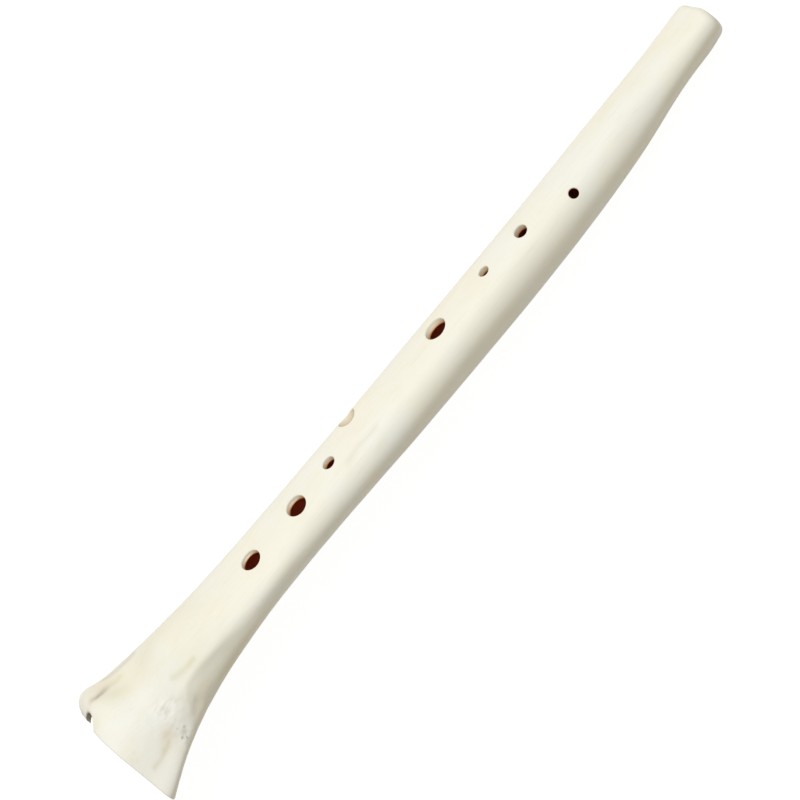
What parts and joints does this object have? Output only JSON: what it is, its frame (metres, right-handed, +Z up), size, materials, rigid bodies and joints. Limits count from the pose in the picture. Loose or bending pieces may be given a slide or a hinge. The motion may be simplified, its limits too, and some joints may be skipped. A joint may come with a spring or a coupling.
{
  "type": "bone flute",
  "caption": "End-blown flute worked from a long bone, with a flared foot, a rounded blowing end and a row of finger holes.",
  "frame": {"origin": "middle of the bounding box's footprint, on the surface that the flute lies on", "axes": "+X along the flute from the flared foot to the blowing end, +Z up through the side with the finger holes, +Y to the left of +X"},
  "size_m": [0.24, 0.0354, 0.0255],
  "materials": {
    "bone": "satin"
  },
  "bodies": {
    "root": {"flute_body": "bone"}
  },
  "joints": []
}
